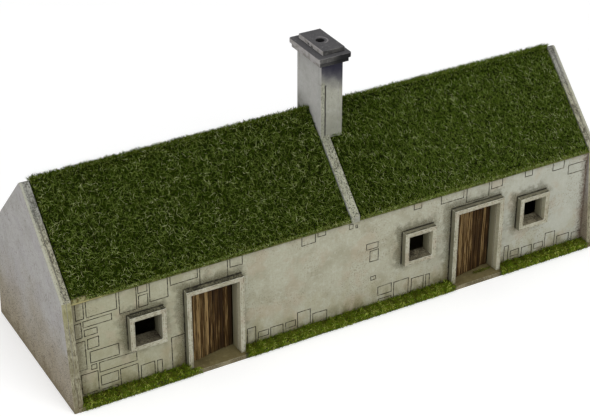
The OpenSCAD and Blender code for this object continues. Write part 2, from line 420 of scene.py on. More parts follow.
DOOR_FRAMES = ["left_door_frame", "right_door_frame"]
FRAMES = {}
for node in ["left_window_frame", "middle_window_frame", "right_window_frame"] + DOOR_FRAMES:
    low, high = box_of(node)
    centre = (low + high) / 2
    half = (high - low) / 2
    FRAMES[node] = (centre.x, centre.z, half.x, half.z)
    print(node, "centre x %.1f z %.1f, half width %.1f, half height %.1f" % FRAMES[node])

# %% The front wall's paint
WALL_FACE_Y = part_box("front_wall_middle")[0].y / MM
# the shade of the left window ends between these two places along the wall
LEFT_SHADE = (-76, -70)
FRAME_FACE_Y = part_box("left_door_frame")[0].y / MM

wall_paint, wires = new_material("front_wall_paint")
coat = cloudy_coat(wires, (167, 166, 147), (146, 143, 121), (181, 181, 166), 0.25, 0.4)
_, face_y, face_z = wires.facing()
across, depth, up = wires.point()
# older and yellower at the left end, paler and cooler at the right end
colour = coat["Color"].tint(across.fall(-122, -20, 0.4), 140, 138, 103)
colour = colour.tint(across.step(10, 115, 0.0, 0.4), 184, 188, 182)
blush = wires.noise(11, detail=4).step(0.52, 0.66)
colour = colour.tint(blush * 0.4, 164, 150, 128)
dirt_and_shade, joint = 0.0, 0.0
# round each frame: dirt, with painted shadow at the frame's edge
for box in FRAMES.values():
    around = dirt_and_shade_round(wires, box, 4.4)
    dirt_and_shade = wires.larger(dirt_and_shade, around["Mask"])
    joint = wires.larger(joint, around["Line"])
# under the eave: dirt and painted shade
eave_dirt_and_shade = (up + wires.noise(2.5) * 4).step(45.5, 50.0)
dirt_and_shade = wires.larger(dirt_and_shade * 0.9, eave_dirt_and_shade * 0.55)
colour = colour.tint(dirt_and_shade, 78, 75, 52)
spatter = wires.noise(0.6).step(0.57, 0.64) * wires.noise(15).step(0.42, 0.62)
colour = colour.tint(spatter * 0.5, 106, 92, 64)
# mud was splashed up beside the door frames
for node in DOOR_FRAMES:
    splash = dirt_and_shade_round(wires, FRAMES[node], 9.0)["Mask"] * up.fall(1, 16, 0.85)
    colour = colour.tint(splash, 74, 60, 36)
stain = ground_dirt(wires, 20.0)
colour = colour.tint(stain * 0.35, 142, 134, 92)
ground = ground_dirt(wires, 10.0)
ground = ground * wires.noise(1.2, detail=4).step(0.35, 0.6, 0.55, 1.0)
colour = colour.tint(ground * 0.8, 92, 88, 52)
ragged = wires.noise(1.3, detail=5, roughness=0.8) * 12
corner = (across + ragged).step(122.5, 127.5)
colour = colour.tint(corner * 0.9, 78, 58, 44)
corner = (across - ragged).fall(-126.5, -121.5, 0.6)
colour = colour.tint(corner, 76, 66, 42)
# painted shadow line where the frames meet the wall, on the front face only
facing_front = face_y.fall(-0.8, -0.4)
colour = colour.tint(joint * 0.85 * facing_front, 32, 29, 20)
# the sides of the openings: paler over all, a pale seam where the frame was glued on, and painted
# shade further in
cut_side = abs(face_y).fall(0.4, 0.8)
colour = colour.tint(cut_side * 0.3, 200, 194, 160)
shade_further_in = depth.step(WALL_FACE_Y + 1.0, WALL_FACE_Y + 3.6, 0.0, 0.25)
colour = colour.tint(shade_further_in * cut_side, 104, 100, 76)
# painted shade: the left window is the darkest inside
gloom = across.fall(*LEFT_SHADE, 0.42) * cut_side
colour = colour.tint(gloom * wires.noise(1.5, detail=4).step(0.3, 0.6, 0.75, 1.0), 52, 50, 42)
glue = depth.fall(WALL_FACE_Y + 0.3, WALL_FACE_Y + 0.6, 0.5)
colour = colour.tint(glue * cut_side, 190, 185, 162)
sill = dry_brushed(wires, (58, 52, 38), (134, 127, 104), 0.5)
# painted shade on the left window's sill
sill_colour = sill["Color"].tint(across.fall(*LEFT_SHADE, 0.5), 56, 50, 38)
sill_on = face_z.step(0.5, 0.8) * up.fall(38, 40)
colour = wires.mix(sill_on, colour, sill_colour)
wires.finish(colour, coat["Height"], relief=0.08)

# %% The wall at the back, and the boards inside
back_paint, wires = new_material("back_wall_paint")
coat = cloudy_coat(wires, (162, 162, 147), (142, 140, 121), (178, 179, 165), 0.35, 0.4)
_, _, up = wires.point()
ground = ground_dirt(wires, 8.0)
colour = coat["Color"].tint(ground * 0.7, 92, 88, 60)
# under the eave: dirt and painted shade
eave_dirt_and_shade = (up + wires.noise(4) * 4).step(43.5, 49.0)
colour = colour.tint(eave_dirt_and_shade * 0.6, 86, 80, 62)
wires.finish(colour, coat["Height"], relief=0.08)

# %% [markdown]
# ## Gables and party wall
# Each gable is two boards glued face to face. Their broad outer faces are a cooler grey, their
# narrow front edges are a paler beige with brush streaks that run down, and the sloping tops
# show rough board with dark pits. One paint serves all of it: it looks which way the surface
# faces and chooses.

# %% Gable paint
# the inner face of the right gable, and the glue line between its two boards
GABLE_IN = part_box("right_gable_inner")[0].x / MM
GABLE_GLUE_X = 123.0
gable_paint, wires = new_material("gable_paint")
face_x, _, face_z = wires.facing()
across, _, up = wires.point()
edge_on = abs(face_x).fall(0.35, 0.8)
top_on = face_z.step(0.35, 0.6)

# broad faces: cool grey with violet blotches, short dark dashes and brown dirt low down
broad = cloudy_coat(wires, (168, 166, 163), (152, 150, 145), (182, 180, 178), 0.15, 0.35)
face = broad["Color"].tint(wires.noise(13).step(0.48, 0.64) * 0.35, 158, 154, 156)
mud = (up + wires.noise(16, detail=4) * 40).fall(22, 66, 0.68)
face = face.tint(mud, 138, 124, 92)
dashes = wires.noise(0.9, stretch=(1, 0.6, 1.4)).step(0.60, 0.66)
face = face.tint(dashes * 0.3, 98, 90, 76)
dots = dark_pits(wires, 0.5)
face = face.tint(dots * 0.55, 92, 86, 76)
cells = wires.node("TexVoronoi", wires.place((1, 1.5, 0.6)), feature="DISTANCE_TO_EDGE")
wires.put(cells.inputs["Scale"], 0.12)
cracks = (wires.out(cells, "Distance") + wires.noise(3, detail=4) * 0.14).fall(0.05, 0.09, 0.5)
face = face.tint(cracks, 94, 86, 76)
grime = dark_pits(wires, 0.85) * mud
face = face.tint(grime * 1.2, 80, 70, 50)

# narrow front edges: darker beige with flecks that run down and a broken glue line
narrow = cloudy_coat(wires, (153, 150, 127), (108, 102, 76), (174, 172, 150), 0.6, 0.4)
flecks = wires.noise(0.8, stretch=(2.4, 1, 0.35)).step(0.53, 0.61)
edge = narrow["Color"].tint(flecks * 0.85, 78, 68, 46)
lichen = up.step(34, 42) * up.fall(47, 50, 0.45)
edge = edge.tint(lichen, 150, 148, 104)

# sloping tops: fine pits, a smooth pale rim outside, grey near the ridge
raw = dry_brushed(wires, (92, 90, 74), (158, 156, 136), 0.56)
grey = dry_brushed(wires, (76, 76, 68), (146, 146, 138), 0.54)
rake = wires.mix(up.step(66, 74), raw["Color"], grey["Color"])
pits = dark_pits(wires, 0.74)
rake = rake.tint(pits * 0.85, 48, 45, 34)
scars = wires.noise(1.0, stretch=(1.6, 0.6, 0.6), detail=4).step(0.55, 0.61)
scars = scars * abs(across).step(122.7, 123.2, 0.8, 0.1)
scars = scars * up.step(46, 52) * up.step(64, 74, 1.0, 0.3)
rake = rake.tint(scars, 64, 56, 40)
rim = abs(across).step(123.7, 124.3)
rake = rake.tint(rim * 0.7, 172, 172, 156)

# the strip that looks inwards beside the front wall is where the dirt gathered
inward = abs(across).fall(GABLE_IN + 0.2, GABLE_IN + 0.6, 0.35)
face = face.tint(inward * wires.noise(1.5, detail=4).step(0.3, 0.6, 0.5, 1.0), 96, 80, 62)
colour = wires.mix(edge_on, face, edge)
colour = wires.mix(top_on, colour, rake)
glue = abs(abs(across) - GABLE_GLUE_X).fall(0.1, 0.35, 0.85)
low_rake = wires.larger(up.step(50, 54) * up.fall(68, 72), across.step(0, 1))
broken = wires.noise(2.2, stretch=(1, 1, 0.6)).step(0.48, 0.58, 0.0, 0.7)
glue_on = wires.mix(top_on, broken, low_rake)
glue = glue * glue_on * edge_on
colour = colour.tint(glue, 58, 52, 38)
ground = ground_dirt(wires, 8.0)
colour = colour.tint(ground * 0.6, 104, 92, 66)
wires.finish(colour, broad["Height"] + raw["Height"] * top_on, relief=0.1)

# %% Party wall and chimney paint
# heights where the soot begins and is full, and where the glue line ends
SOOT_LOW = 94.0
SOOT_HIGH = 103.5
STACK_GLUE_TOP = 96.6
GLUE_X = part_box("cross_wall_left")[1].x / MM
stack_paint, wires = new_material("chimney_paint")
face_x, _, face_z = wires.facing()
across, depth, up = wires.point()
left_side = cloudy_coat(wires, (180, 179, 175), (162, 161, 155), (193, 192, 189), 0.3, 0.3)
front_side = cloudy_coat(wires, (156, 156, 144), (136, 136, 122), (170, 170, 160), 0.35, 0.5)
raw = dry_brushed(wires, (94, 92, 74), (162, 163, 143), 0.58)
left_on = face_x.fall(-0.8, -0.4)
colour = wires.mix(left_on, front_side["Color"], left_side["Color"])
high = up + wires.noise(3) * 5 + (across - (GLUE_X + 4)) * 0.35
soot = high.step(SOOT_LOW, SOOT_HIGH)
deep_soot = high.step(SOOT_LOW + 6, SOOT_HIGH + 3)
shy = 0.95 - left_on * 0.87
colour = colour.tint(soot * shy, 76, 75, 80)
colour = colour.tint(deep_soot * shy, 30, 29, 44)
# the raw edge of the left board shows as a paler dotted strip beside the glue line
strip = across.fall(GLUE_X - 0.4, GLUE_X)
strip = strip * up.fall(STACK_GLUE_TOP, STACK_GLUE_TOP + 2, 0.6)
strip = strip * (1.0 - left_on)
colour = wires.mix(strip, colour, raw["Color"])
top_on = face_z.step(0.35, 0.6) * up.fall(84, 86)
colour = wires.mix(top_on, colour, raw["Color"])
pits = dark_pits(wires, 0.95) * wires.larger(top_on, strip)
colour = colour.tint(pits * 0.9, 50, 48, 34)
low_dirt = (up + wires.noise(3) * 10).fall(80, 94) * up.step(68, 72)
behind = 0.4 + left_on * depth.step(-6, 8, -0.4, 0.6)
colour = colour.tint(low_dirt * behind, 92, 94, 82)
wander = (wires.noise(1.2) - 0.5) * 0.5
glue = abs(across + wander - GLUE_X).fall(0.2, 0.4, 0.95)
glue_on = wires.larger(up.fall(40, 44, 0.5),
                       up.step(70, 72) * up.fall(STACK_GLUE_TOP - 0.5, STACK_GLUE_TOP))
glue_on = glue_on * (1.0 - top_on)
colour = colour.tint(glue * glue_on, 40, 38, 34)
wires.finish(colour, left_side["Height"], relief=0.1)

# %% [markdown]
# ## Frames, cap and ground
# The frames round the openings are the palest parts, with bright rubbed corners that also carry a
# painted highlight, and dark speckled tops where dust gathers. A painted shadow runs where they
# meet the wall, and the jambs that face left carry painted light. The cap plates are sooty, with
# painted shade on their undersides. The base plate is the trodden ground that shows at the
# doorsteps and along the front edge.

# %% Frame paint
window = frame["nodes"]["left_window_frame"].data
steps = sorted({round(vert.co.x / MM, 2) for vert in window.vertices})
FRAME_W = steps[1] - steps[0]
# a drawn line runs this far inside the frame's edges, and the front layer is this thick
LINE_INSET = 0.45
FRONT_LAYER = 0.75
trim_paint, wires = new_material("frame_paint")
face_x, face_y, face_z = wires.facing()
across, depth, up = wires.point()
coat = cloudy_coat(wires, (172, 170, 151), (144, 140, 117), (188, 188, 170), 0.35, 0.5)
raw = dry_brushed(wires, (36, 34, 24), (116, 112, 90), 0.48)
top_on = face_z.step(0.4, 0.9)
side_on = abs(face_x).step(0.4, 0.9)
rust = wires.noise(3.5, detail=4).step(0.5, 0.64)
colour = coat["Color"].tint(rust * 0.3, 162, 144, 126)
# how far in from the frame's outline, and how far from its left side
inset, from_left = None, None
for x, z, half_w, half_h in FRAMES.values():
    beside = half_w - abs(across - x)
    below = half_h - abs(up - z)
    here = wires.smaller(beside, below)
    left = abs(across - (x - half_w))
    inset = here if inset is None else wires.larger(inset, here)
    from_left = left if from_left is None else wires.smaller(from_left, left)
leftward = face_x.fall(-0.8, -0.4)
left_on = leftward * from_left.fall(0.4, 0.8)
jamb_on = leftward - left_on
colour = colour.tint(side_on * 0.15, 116, 114, 92)
# painted light on the jambs that face left
colour = colour.tint(jamb_on * 0.35, 200, 194, 160)
# painted shade on the jambs of the left window
gloom = jamb_on * across.fall(*LEFT_SHADE, 0.5)
colour = colour.tint(gloom, 66, 64, 54)
colour = colour.tint(left_on * 0.6, 84, 82, 58)
pits = dark_pits(wires, 0.5)
colour = colour.tint(pits * 0.65, 84, 78, 56)
to_line = wires.smaller(abs(inset - LINE_INSET), abs(inset - (FRAME_W - LINE_INSET)))
chips = to_line.fall(0.1, 0.3, 0.6) * wires.noise(1.3, detail=4).step(0.50, 0.58)
chips = chips * face_y.fall(-0.8, -0.5)
colour = colour.tint(chips, 96, 82, 58)
top_colour = raw["Color"].tint(across.step(-40, 20, 0.0, 0.4), 146, 142, 120)
colour = wires.mix(top_on, colour, top_colour)
sill_on = top_on * up.fall(22, 24)
sill = dry_brushed(wires, (70, 64, 48), (134, 127, 104), 0.5)
# painted shade on the left window's sill
sill_colour = sill["Color"].tint(across.fall(*LEFT_SHADE, 0.5), 56, 50, 38)
colour = wires.mix(sill_on, colour, sill_colour)
ground = ground_dirt(wires, 8.0)
colour = colour.tint(ground * 0.6, 100, 94, 64)
# painted shadow where the back of the frame meets the wall
seam_shadow = depth.step(WALL_FACE_Y - 0.75, WALL_FACE_Y - 0.4)
rubbed_and_highlit = worn_and_highlit_corner(wires, 0.8)
# rubbed paint with a painted highlight on the rounded edges
colour = colour.tint(rubbed_and_highlit, 200, 200, 184)
front_line = abs(depth - (FRAME_FACE_Y + FRONT_LAYER))
front_line = front_line.fall(0.1, 0.4, 0.85) * top_on
front_line = front_line * wires.noise(2.5).step(0.4, 0.55)
# the joint between the frame's two layers on its top, and the painted shadow at the wall
layer_joint_and_seam_shadow = wires.larger(front_line, seam_shadow * wires.larger(left_on, top_on))
layer_joint_and_seam_shadow = layer_joint_and_seam_shadow * (1.0 - sill_on)
colour = colour.tint(layer_joint_and_seam_shadow, 26, 24, 15)
wires.finish(colour, coat["Height"], relief=0.12)

# %% Cap paint
low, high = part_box("cap_lower_plate")
CAP_X = (low.x + high.x) / 2 / MM
CAP_STEP_Z = high.z / MM
BLOCK_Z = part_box("cap_top_block")[0].z / MM
# the flue, the pale ring rubbed round it, and two nicks in the left side of the top block
FLUE_R = 1.82
RING_R = 3.1
NICKS = [(1.8, 110.4), (-1.0, 110.2)]
cap_paint, wires = new_material("sooty_cap_paint")
face_x, _, face_z = wires.facing()
across, depth, up = wires.point()
coat = cloudy_coat(wires, (78, 77, 75), (42, 41, 41), (126, 124, 120), 0.4, 0.6)
left_on = face_x.fall(-0.8, -0.4)
top_on = face_z.step(0.4, 0.9)
pale = wires.mix(wires.noise(2.5).step(0.45, 0.65), ink(176, 172, 170), ink(146, 142, 136))
lowest = up.fall(CAP_STEP_Z - 0.2, CAP_STEP_Z, 0.6)
colour = coat["Color"].tint(lowest, 38, 37, 37)
colour = wires.mix(left_on * 0.85, colour, pale)
crumbs = wires.noise(0.7, detail=2).step(0.62, 0.7)
dusty = wires.mix(crumbs * 0.45, ink(76, 75, 77), ink(150, 148, 146))
colour = wires.mix(top_on * 0.85, colour, dusty)
for y, z in NICKS:
    off = abs(depth - y) + abs(up - z) * 2
    nick = off.fall(0.8, 1.2, 0.95) * left_on
    colour = colour.tint(nick, 30, 26, 26)
right_of = across - CAP_X
from_flue = wires.math("SQRT", right_of ** 2.0 + depth ** 2.0)
ring = abs(from_flue - RING_R).fall(0.1, 0.5, 0.5) * right_of.step(-0.5, 1.5)
colour = colour.tint(ring * top_on, 158, 154, 154)
rubbed_and_highlit = worn_and_highlit_corner(wires, 0.6)
# rubbed paint with a painted highlight on the rounded edges
colour = colour.tint(rubbed_and_highlit, 150, 149, 146)
burnt = across.step(2.5, 9, 0.0, 1.0) * up.step(BLOCK_Z, BLOCK_Z + 0.5, 1.0, 0.25)
burnt = burnt * (1.0 - wires.larger(left_on, top_on))
colour = colour.tint(burnt, 12, 12, 13)
# painted shade: the flue opening is a black disc
colour = colour.tint(from_flue.fall(FLUE_R, FLUE_R + 0.1), 16, 15, 16)
# painted shade on the undersides
under_on = face_z.fall(-0.9, -0.4)
colour = colour.tint(under_on, 16, 16, 18)
wires.finish(colour, coat["Height"], relief=0.14)

# %% Trodden ground
ground_paint, wires = new_material("trodden_ground")
_, _, face_z = wires.facing()
coat = cloudy_coat(wires, (112, 102, 66), (86, 76, 44), (134, 124, 86), 0.1, 0.8)
raw = dry_brushed(wires, (84, 76, 52), (136, 128, 102), 0.5)
side_on = face_z.fall(0.2, 0.8)
colour = wires.mix(side_on, coat["Color"], raw["Color"])
chipped_and_highlit = worn_and_highlit_corner(wires, 0.9)
# chipped edges with a painted highlight
colour = colour.tint(chipped_and_highlit, 176, 170, 148)
# outside the doorways the edge is green from the grass above it
across, depth, _ = wires.point()
mossy = abs(depth).step(38.5, 39.5) * abs(across).fall(119.5, 121.0)
for node in DOOR_FRAMES:
    x, _, half_w, _ = FRAMES[node]
    mossy = mossy * abs(across - x).step(half_w - 1.5, half_w - 0.5)
colour = colour.tint(mossy * 0.9, 40, 48, 10)
wires.finish(colour, coat["Height"], relief=0.2)

# %% Bare board inside
board_paint, wires = new_material("bare_board")
coat = cloudy_coat(wires, (120, 96, 68), (98, 76, 52), (138, 114, 84), 0.1, 0.5)
wires.finish(coat["Color"], coat["Height"], relief=0.05)

# %% Dark line of a scored joint
score_paint, wires = new_material("scored_line")
coat = cloudy_coat(wires, (46, 40, 26), (34, 29, 18), (70, 62, 44), 0.0, 0.4)
# here and there the line is filled with paint again
filled = wires.noise(1.8, detail=4).step(0.50, 0.60)
colour = coat["Color"].tint(filled * 0.75, 144, 140, 118)
wires.finish(colour, coat["Height"], relief=0.05)
print("materials so far:", len(bpy.data.materials))

# %% [markdown]
# ## The boards that stay as they are
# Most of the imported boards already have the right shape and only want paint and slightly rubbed
# edges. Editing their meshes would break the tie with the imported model, so the edges are rounded
# by modifiers: one welds the corners, one joins flat triangles, one rounds what is still sharp.

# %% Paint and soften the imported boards
def soften(node, width):
    """Rounds the sharp edges of a packed board by this many millimetres."""
    weld = node.modifiers.new("weld", "WELD")
    weld.merge_threshold = 0.001 * MM
    flat = node.modifiers.new("flat", "DECIMATE")
    flat.decimate_type = "DISSOLVE"
    flat.angle_limit = math.radians(1)
    edge = node.modifiers.new("edge", "BEVEL")
    edge.width = width * MM
    edge.segments = 2
    edge.limit_method = "ANGLE"
    edge.angle_limit = math.radians(30)
    edge.harden_normals = True


def paint(node, material):
    """Gives every material slot of a packed board this paint."""
    for index in range(len(node.data.materials)):
        node.data.materials[index] = material


boards = frame["nodes"]
FINISHES = [
    (gable_paint, 0.22, ["left_gable_outer", "left_gable_inner",
                         "right_gable_inner", "right_gable_outer"]),
    (stack_paint, 0.2, ["cross_wall_left", "cross_wall_right",
                        "chimney_front", "chimney_back", "chimney_right"]),
    (trim_paint, 0.25, list(FRAMES)),
    (cap_paint, 0.2, ["cap_lower_plate", "cap_upper_plate", "cap_top_block"]),
    (ground_paint, 0.25, ["base_plate"]),
    (back_paint, 0.0, ["back_wall"]),
    (board_paint, 0.0, ["roof_deck_front_left", "roof_deck_front_right",
                        "roof_deck_back_left", "roof_deck_back_right"]),
]
for material, rounding, names in FINISHES:
    for name in names:
        paint(boards[name], material)
        if rounding:
            soften(boards[name], rounding)
    print(material.name, "on", ", ".join(names))

# %% [markdown]
# ## Stones scored into the front wall
# The render has flaked here and there, and the outlines of a few blocks were cut into the board.
# The lines could be painted on, but a cut catches light and dirt. Each outline is a thin
# rectangular ring; a boolean takes all of them out of a copy of the wall at once.

# %% The list of stones
# Each stone is left, right, bottom and top in millimetres. "eave" runs up under the turf and
# "foot" runs down behind the grass.
EAVE = 60.0
FOOT = -4.0
STONES = [
    # left end, beside the gable
    (-120.0, -116.2, 38.4, EAVE), (-115.6, -102.7, 38.6, EAVE), (-101.9, -94.6, 35.8, EAVE),
    (-94.2, -90.0, 42.6, EAVE), (-94.0, -89.8, 36.2, 41.6), (-89.3, -81.4, 37.2, EAVE),
    (-80.6, -68.5, 41.9, EAVE), (-67.8, -55.4, 36.0, EAVE), (-54.8, -48.9, 41.9, EAVE),
    (-117.0, -105.1, 34.5, 37.5), (-116.9, -111.2, 30.3, 33.5), (-115.9, -111.0, 24.1, 29.1),
    (-115.2, -103.0, 17.4, 22.9), (-115.0, -112.4, 14.3, 16.8), (-111.7, -95.7, 12.0, 16.7),
    (-111.4, -103.9, 5.5, 10.4), (-103.2, -95.4, 2.4, 10.7), (-94.6, -88.3, FOOT, 9.3),
    (-87.6, -85.0, FOOT, 9.2), (-81.0, -74.9, FOOT, 17.8), (-119.4, -112.1, 3.6, 13.4),
    (-120.7, -117.6, 30.1, 37.2), (-120.5, -116.6, 15.2, 28.8), (-111.0, -104.2, FOOT, 3.9),
    # between the doors
    (-47.6, -43.5, FOOT, 10.4), (-42.6, -37.6, 4.3, 7.3), (-36.9, -30.8, FOOT, 7.6),
    (-30.0, -25.0, 4.4, 7.6), (-24.3, -18.0, FOOT, 10.7), (-17.2, -10.3, FOOT, 7.7),
    (-22.5, -15.9, 41.8, EAVE), (-15.1, -11.2, 43.8, EAVE),
    (-0.3, 1.7, 42.9, 45.5), (2.7, 3.8, 42.8, 44.5),
    (8.1, 13.9, 30.4, 33.5), (9.8, 14.2, 24.2, 29.8), (10.5, 13.2, 14.9, 17.0),
    (14.2, 21.2, 6.1, 10.8), (14.5, 21.3, FOOT, 4.5), (22.0, 29.7, FOOT, 10.7),
    (30.8, 37.3, FOOT, 9.6), (38.1, 40.4, FOOT, 9.4), (30.8, 34.8, 43.0, EAVE),
    (44.2, 55.8, 42.0, EAVE), (57.1, 68.7, 39.0, EAVE),
    # right end
    (69.7, 75.5, 42.2, EAVE), (87.1, 91.1, 43.0, EAVE), (101.8, 108.0, 41.9, EAVE),
    (110.4, 120.2, 37.9, 42.6), (78.8, 81.3, FOOT, 10.8), (82.3, 87.0, 4.4, 7.6),
    (88.2, 94.0, FOOT, 7.6), (95.0, 100.1, 4.4, 7.5), (100.8, 106.3, FOOT, 11.0),
    (107.5, 114.3, FOOT, 7.6), (115.7, 121.4, FOOT, 7.0),
]
print("stones:", len(STONES))

# %% Cut the outlines
LINE_WIDTH = 0.36
LINE_DEPTH = 0.35
shake = random.Random(11)


def copy_of(node, name):
    """A copy of one packed board as a piece of its own, with whole flat faces."""
    work = bmesh.new()
    work.from_mesh(boards[node].data)
    bmesh.ops.remove_doubles(work, verts=work.verts, dist=0.001 * MM)
    bmesh.ops.dissolve_limit(work, angle_limit=math.radians(1), verts=work.verts,
                             edges=work.edges)
    return add_piece(name, work)


def add_piece(name, work):
    """Turns a bmesh into a linked object."""
    mesh = bpy.data.meshes.new(name)
    work.to_mesh(mesh)
    work.free()
    piece = bpy.data.objects.new(name, mesh)
    bpy.context.scene.collection.objects.link(piece)
    return piece


def ring(work, left, right, bottom, top):
    """One rectangular ring that reaches from in front of the wall to the depth of a cut."""
    def hand(value):
        return value + shake.uniform(-0.12, 0.12)

    outer = [(hand(left), hand(bottom)), (hand(right), hand(bottom)),
             (hand(right), hand(top)), (hand(left), hand(top))]
    inner = []
    for (x, z), (sx, sz) in zip(outer, ((1, 1), (-1, 1), (-1, -1), (1, -1))):
        inner.append((x + sx * LINE_WIDTH, z + sz * LINE_WIDTH))
    rows = []
    for y in (WALL_FACE_Y - 0.3, WALL_FACE_Y + LINE_DEPTH):
        rows.append([work.verts.new((x * MM, y * MM, z * MM)) for x, z in outer])
        rows.append([work.verts.new((x * MM, y * MM, z * MM)) for x, z in inner])
    front_out, front_in, back_out, back_in = rows
    for i in range(4):
        j = (i + 1) % 4
        work.faces.new((front_out[i], front_out[j], front_in[j], front_in[i]))
        work.faces.new((back_out[j], back_out[i], back_in[i], back_in[j]))
        work.faces.new((front_out[j], front_out[i], back_out[i], back_out[j]))
        work.faces.new((front_in[i], front_in[j], back_in[j], back_in[i]))


def cut(piece, cutter):
    """Takes the cutter's shape out of the piece and keeps the cutter's material in the cut."""
    hole = piece.modifiers.new("cut", "BOOLEAN")
    hole.object = cutter
    hole.operation = "DIFFERENCE"
    hole.solver = "EXACT"
    hole.use_self = True
    hole.material_mode = "TRANSFER"
    bpy.context.view_layer.update()
    result = piece.evaluated_get(bpy.context.evaluated_depsgraph_get())
    old = piece.data
    piece.data = bpy.data.meshes.new_from_object(result)
    piece.modifiers.clear()
    bpy.data.meshes.remove(old)
    bpy.data.objects.remove(cutter)


WALL_PANELS = ["front_wall_left", "front_wall_over_left_door", "front_wall_middle",
               "front_wall_over_right_door", "front_wall_right"]
for node in WALL_PANELS:
    wall = copy_of(node, node + "_scored")
    wall.data.materials.clear()
    wall.data.materials.append(wall_paint)
    low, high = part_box(node)
    work = bmesh.new()
    for stone in STONES:
        # the same stone has the same shape on both panels that it crosses
        shake.seed(round(stone[0] * 10))
        if stone[0] * MM < high.x and stone[1] * MM > low.x:
            ring(work, *stone)
    cutter = add_piece("cutter", work)
    cutter.data.materials.append(score_paint)
    if len(cutter.data.polygons):
        cut(wall, cutter)
    else:
        bpy.data.objects.remove(cutter)
    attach(wall, "house")
    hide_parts(node)
    print(wall.name, "faces", len(wall.data.polygons))

# %% [markdown]
# ## Plank doors
# Each leaf is a row of narrow rough planks, dark brown with tan streaks, on two battens, with a
# round post on the hinge side whose pins turn in the base plate and in the wall above. A flat
# board with a wood picture would do from afar, but the gaps and the uneven faces of the planks
# are what the eye reads as a door, so every plank is its own strip. Both doors stand ajar, so a
# leaf is built as if shut, with its axis at the origin, and then turned and moved as one.

# %% Wood for the planks
wires, given, result = new_group(
    "wood streaks",
    [("Dark", "Color", ink(40, 25, 7)), ("Middle", "Color", ink(74, 53, 22)),
     ("Pale", "Color", ink(142, 118, 78)), ("Tone", "Float", 0.5)],
    [("Color", "Color"), ("Height", "Float")],
)
across, _, up = wires.point()
sway = (wires.noise(12, detail=2) - 0.5) * 0.25
wavy = wires.node("CombineXYZ", (across + sway) * 3.3, given["Tone"] * 40.0, up * 0.085)
fibre = wires.noise_at(wires.out(wavy), 1.0, 2.0, 0.5)
fine = wires.noise(1.6, stretch=(7, 7, 0.3), roughness=0.65)
shade = fibre + (given["Tone"] - 0.5) * 0.3
colour = wires.mix(shade.step(0.40, 0.60), given["Dark"], given["Middle"])
colour = wires.mix(shade.step(0.60, 0.65) * 0.9, colour, given["Pale"])
colour = wires.mix(fine.step(0.56, 0.72, 0.0, 0.5), colour, given["Dark"])
wires.put(result["Color"], colour)
wires.put(result["Height"], fine)

plank_wood, wires = new_material("door_plank_wood")
wood = wires.group("wood streaks", Tone=wires.tone())
ground = ground_dirt(wires, 6.0)
colour = wood["Color"].tint(ground * 0.4, 70, 58, 34)
wires.finish(colour, wood["Height"], roughness=0.8, relief=0.15, shine=0.15)

# %% Build a leaf
PLANK_THICK = 1.2
PLANKS = 10
PLANK_GAP = 0.26
PLANK_ROWS = 5
BATTEN_FEET = (6.0, 26.0)
BATTEN_HIGH = 3.2
STRIPS = 5


def box_into(work, low, high):
    """One closed box between two corners in millimetres."""
    made = bmesh.ops.create_cube(work, size=1.0)["verts"]
    low, high = Vector(low), Vector(high)
    for vert in made:
        vert.co = Vector([low[i] + (vert.co[i] + 0.5) * (high[i] - low[i]) for i in range(3)])


def close_slab(work, front, back):
    """Faces over two grids of corners, and round their rim, as one closed slab."""
    rows, columns = len(front), len(front[0])
    made = []
    for r in range(rows - 1):
        for c in range(columns - 1):
            for grid in (front, back):
                made.append(work.faces.new((grid[r][c], grid[r][c + 1], grid[r + 1][c + 1],
                                            grid[r + 1][c])))
    rim = [(0, c) for c in range(columns)] + [(r, columns - 1) for r in range(1, rows)]
    rim += [(rows - 1, c) for c in range(columns - 2, -1, -1)]
    rim += [(r, 0) for r in range(rows - 2, 0, -1)]
    for (r, c), (s, d) in zip(rim, rim[1:] + rim[:1]):
        made.append(work.faces.new((front[r][c], front[s][d], back[s][d], back[r][c])))
    bmesh.ops.recalc_face_normals(work, faces=made)
    return made


def plank_into(work, left, right, bottom, top, face_y, rng):
    """One closed plank with a ribbed, uneven face and slightly wandering edges."""
    columns = STRIPS + 1
    front, back = [], []
    ribs = [rng.uniform(0.0, 0.22) for _ in range(columns)]
    ribs[0] += 0.12
    ribs[-1] += 0.12
    for r in range(PLANK_ROWS):
        z = bottom + (top - bottom) * r / (PLANK_ROWS - 1)
        sway = rng.uniform(-0.05, 0.05) * (0 < r < PLANK_ROWS - 1)
        front.append([])
        back.append([])
        for c in range(columns):
            x = left + (right - left) * c / STRIPS + sway
            y = face_y + ribs[c] + rng.uniform(0, 0.05)
            front[r].append(work.verts.new((x, y, z)))
            back[r].append(work.verts.new((x, face_y + PLANK_THICK, z)))
    return len(close_slab(work, front, back))


def set_tone(piece, values):
    """Stores one tone for each face, so that planks or blades differ in colour."""
    layer = piece.data.attributes.new("tone", "FLOAT", "FACE")
    layer.data.foreach_set("value", np.asarray(values, np.float32))


